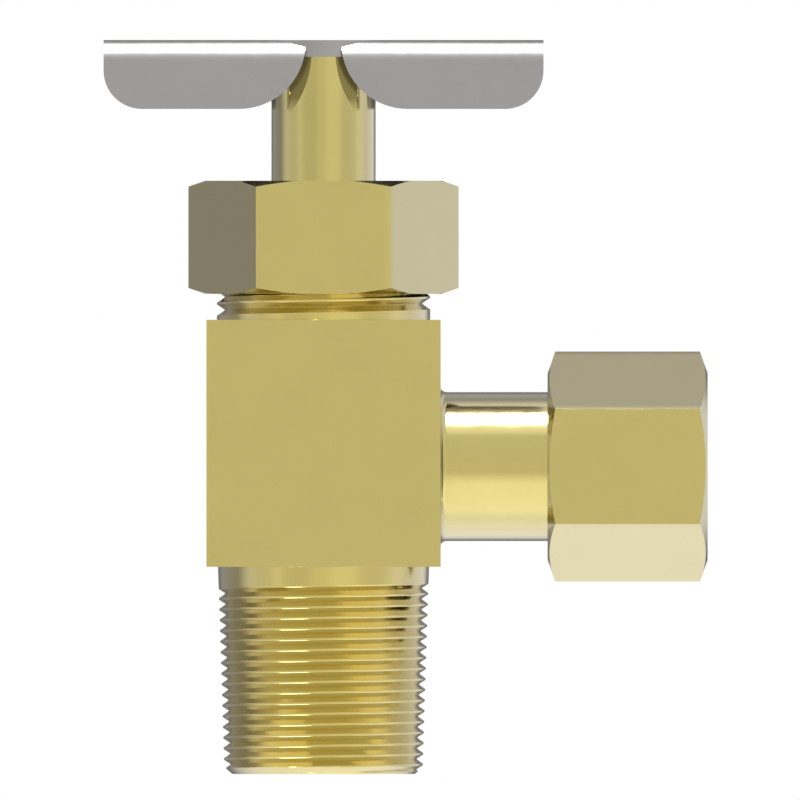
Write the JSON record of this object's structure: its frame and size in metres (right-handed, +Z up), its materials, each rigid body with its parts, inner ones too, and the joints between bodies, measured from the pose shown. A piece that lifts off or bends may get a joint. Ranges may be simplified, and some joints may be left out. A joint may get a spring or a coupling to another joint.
{
  "type": "angle shut-off valve",
  "caption": "Angle shut-off valve: tapered male pipe thread below, compression tube outlet to the side, hexagon packing nut and a stem with a two-wing sheet-metal handle on top.",
  "frame": {"origin": "centre of the inlet thread's end face", "axes": "+Z up the stem axis towards the handle, +X along the outlet axis, out of the tube socket"},
  "size_m": [0.0614, 0.0238, 0.0746],
  "materials": {
    "forged_brass": "clean forged and machined brass, satin",
    "turned_brass": "turned brass, satin to bright",
    "zinc_plate": "zinc-plated pressed steel, satin",
    "spring_steel": "plain steel",
    "packing_plastic": "off-white packing plastic",
    "seat_rubber": "black rubber"
  },
  "bodies": {
    "valve_body": {"body": "forged_brass", "packing_nut": "turned_brass", "gland_follower": "turned_brass", "packing_top_adapter": "packing_plastic", "packing_ring_1": "packing_plastic", "packing_ring_2": "packing_plastic", "packing_ring_3": "packing_plastic", "packing_bottom_adapter": "packing_plastic", "packing_washer": "turned_brass"},
    "disc": {"disc_holder": "turned_brass", "holder_clip": "spring_steel", "seat_disc": "seat_rubber", "disc_washer": "spring_steel", "disc_screw": "spring_steel"},
    "spindle": {"stem": "turned_brass", "handle": "zinc_plate"},
    "sleeve": {"ferrule": "turned_brass"},
    "nut": {"outlet_nut": "turned_brass"}
  },
  "joints": [
    {"name": "stem_lift", "type": "slide", "parent": "valve_body", "child": "disc", "axis": [0, 0, 1], "range_m": [0, 0.00381]},
    {"name": "handle_turn", "type": "hinge", "parent": "disc", "child": "spindle", "pos_m": [0, 0, 0.07287], "axis": [0, 0, 1], "range_deg": [0, 1080]},
    {"name": "sleeve_travel", "type": "slide", "parent": "valve_body", "child": "sleeve", "axis": [1, 0, 0], "range_m": [0, 0.01016]},
    {"name": "nut_turn", "type": "hinge", "parent": "sleeve", "child": "nut", "pos_m": [0.03903, 0, 0.03124], "axis": [1, 0, 0], "range_deg": [0, 2880]}
  ],
  "couplings": [
    {"joint": "handle_turn", "follows": "stem_lift", "rad_per_m": 4947.4},
    {"joint": "nut_turn", "follows": "sleeve_travel", "rad_per_m": 4947.4}
  ]
}
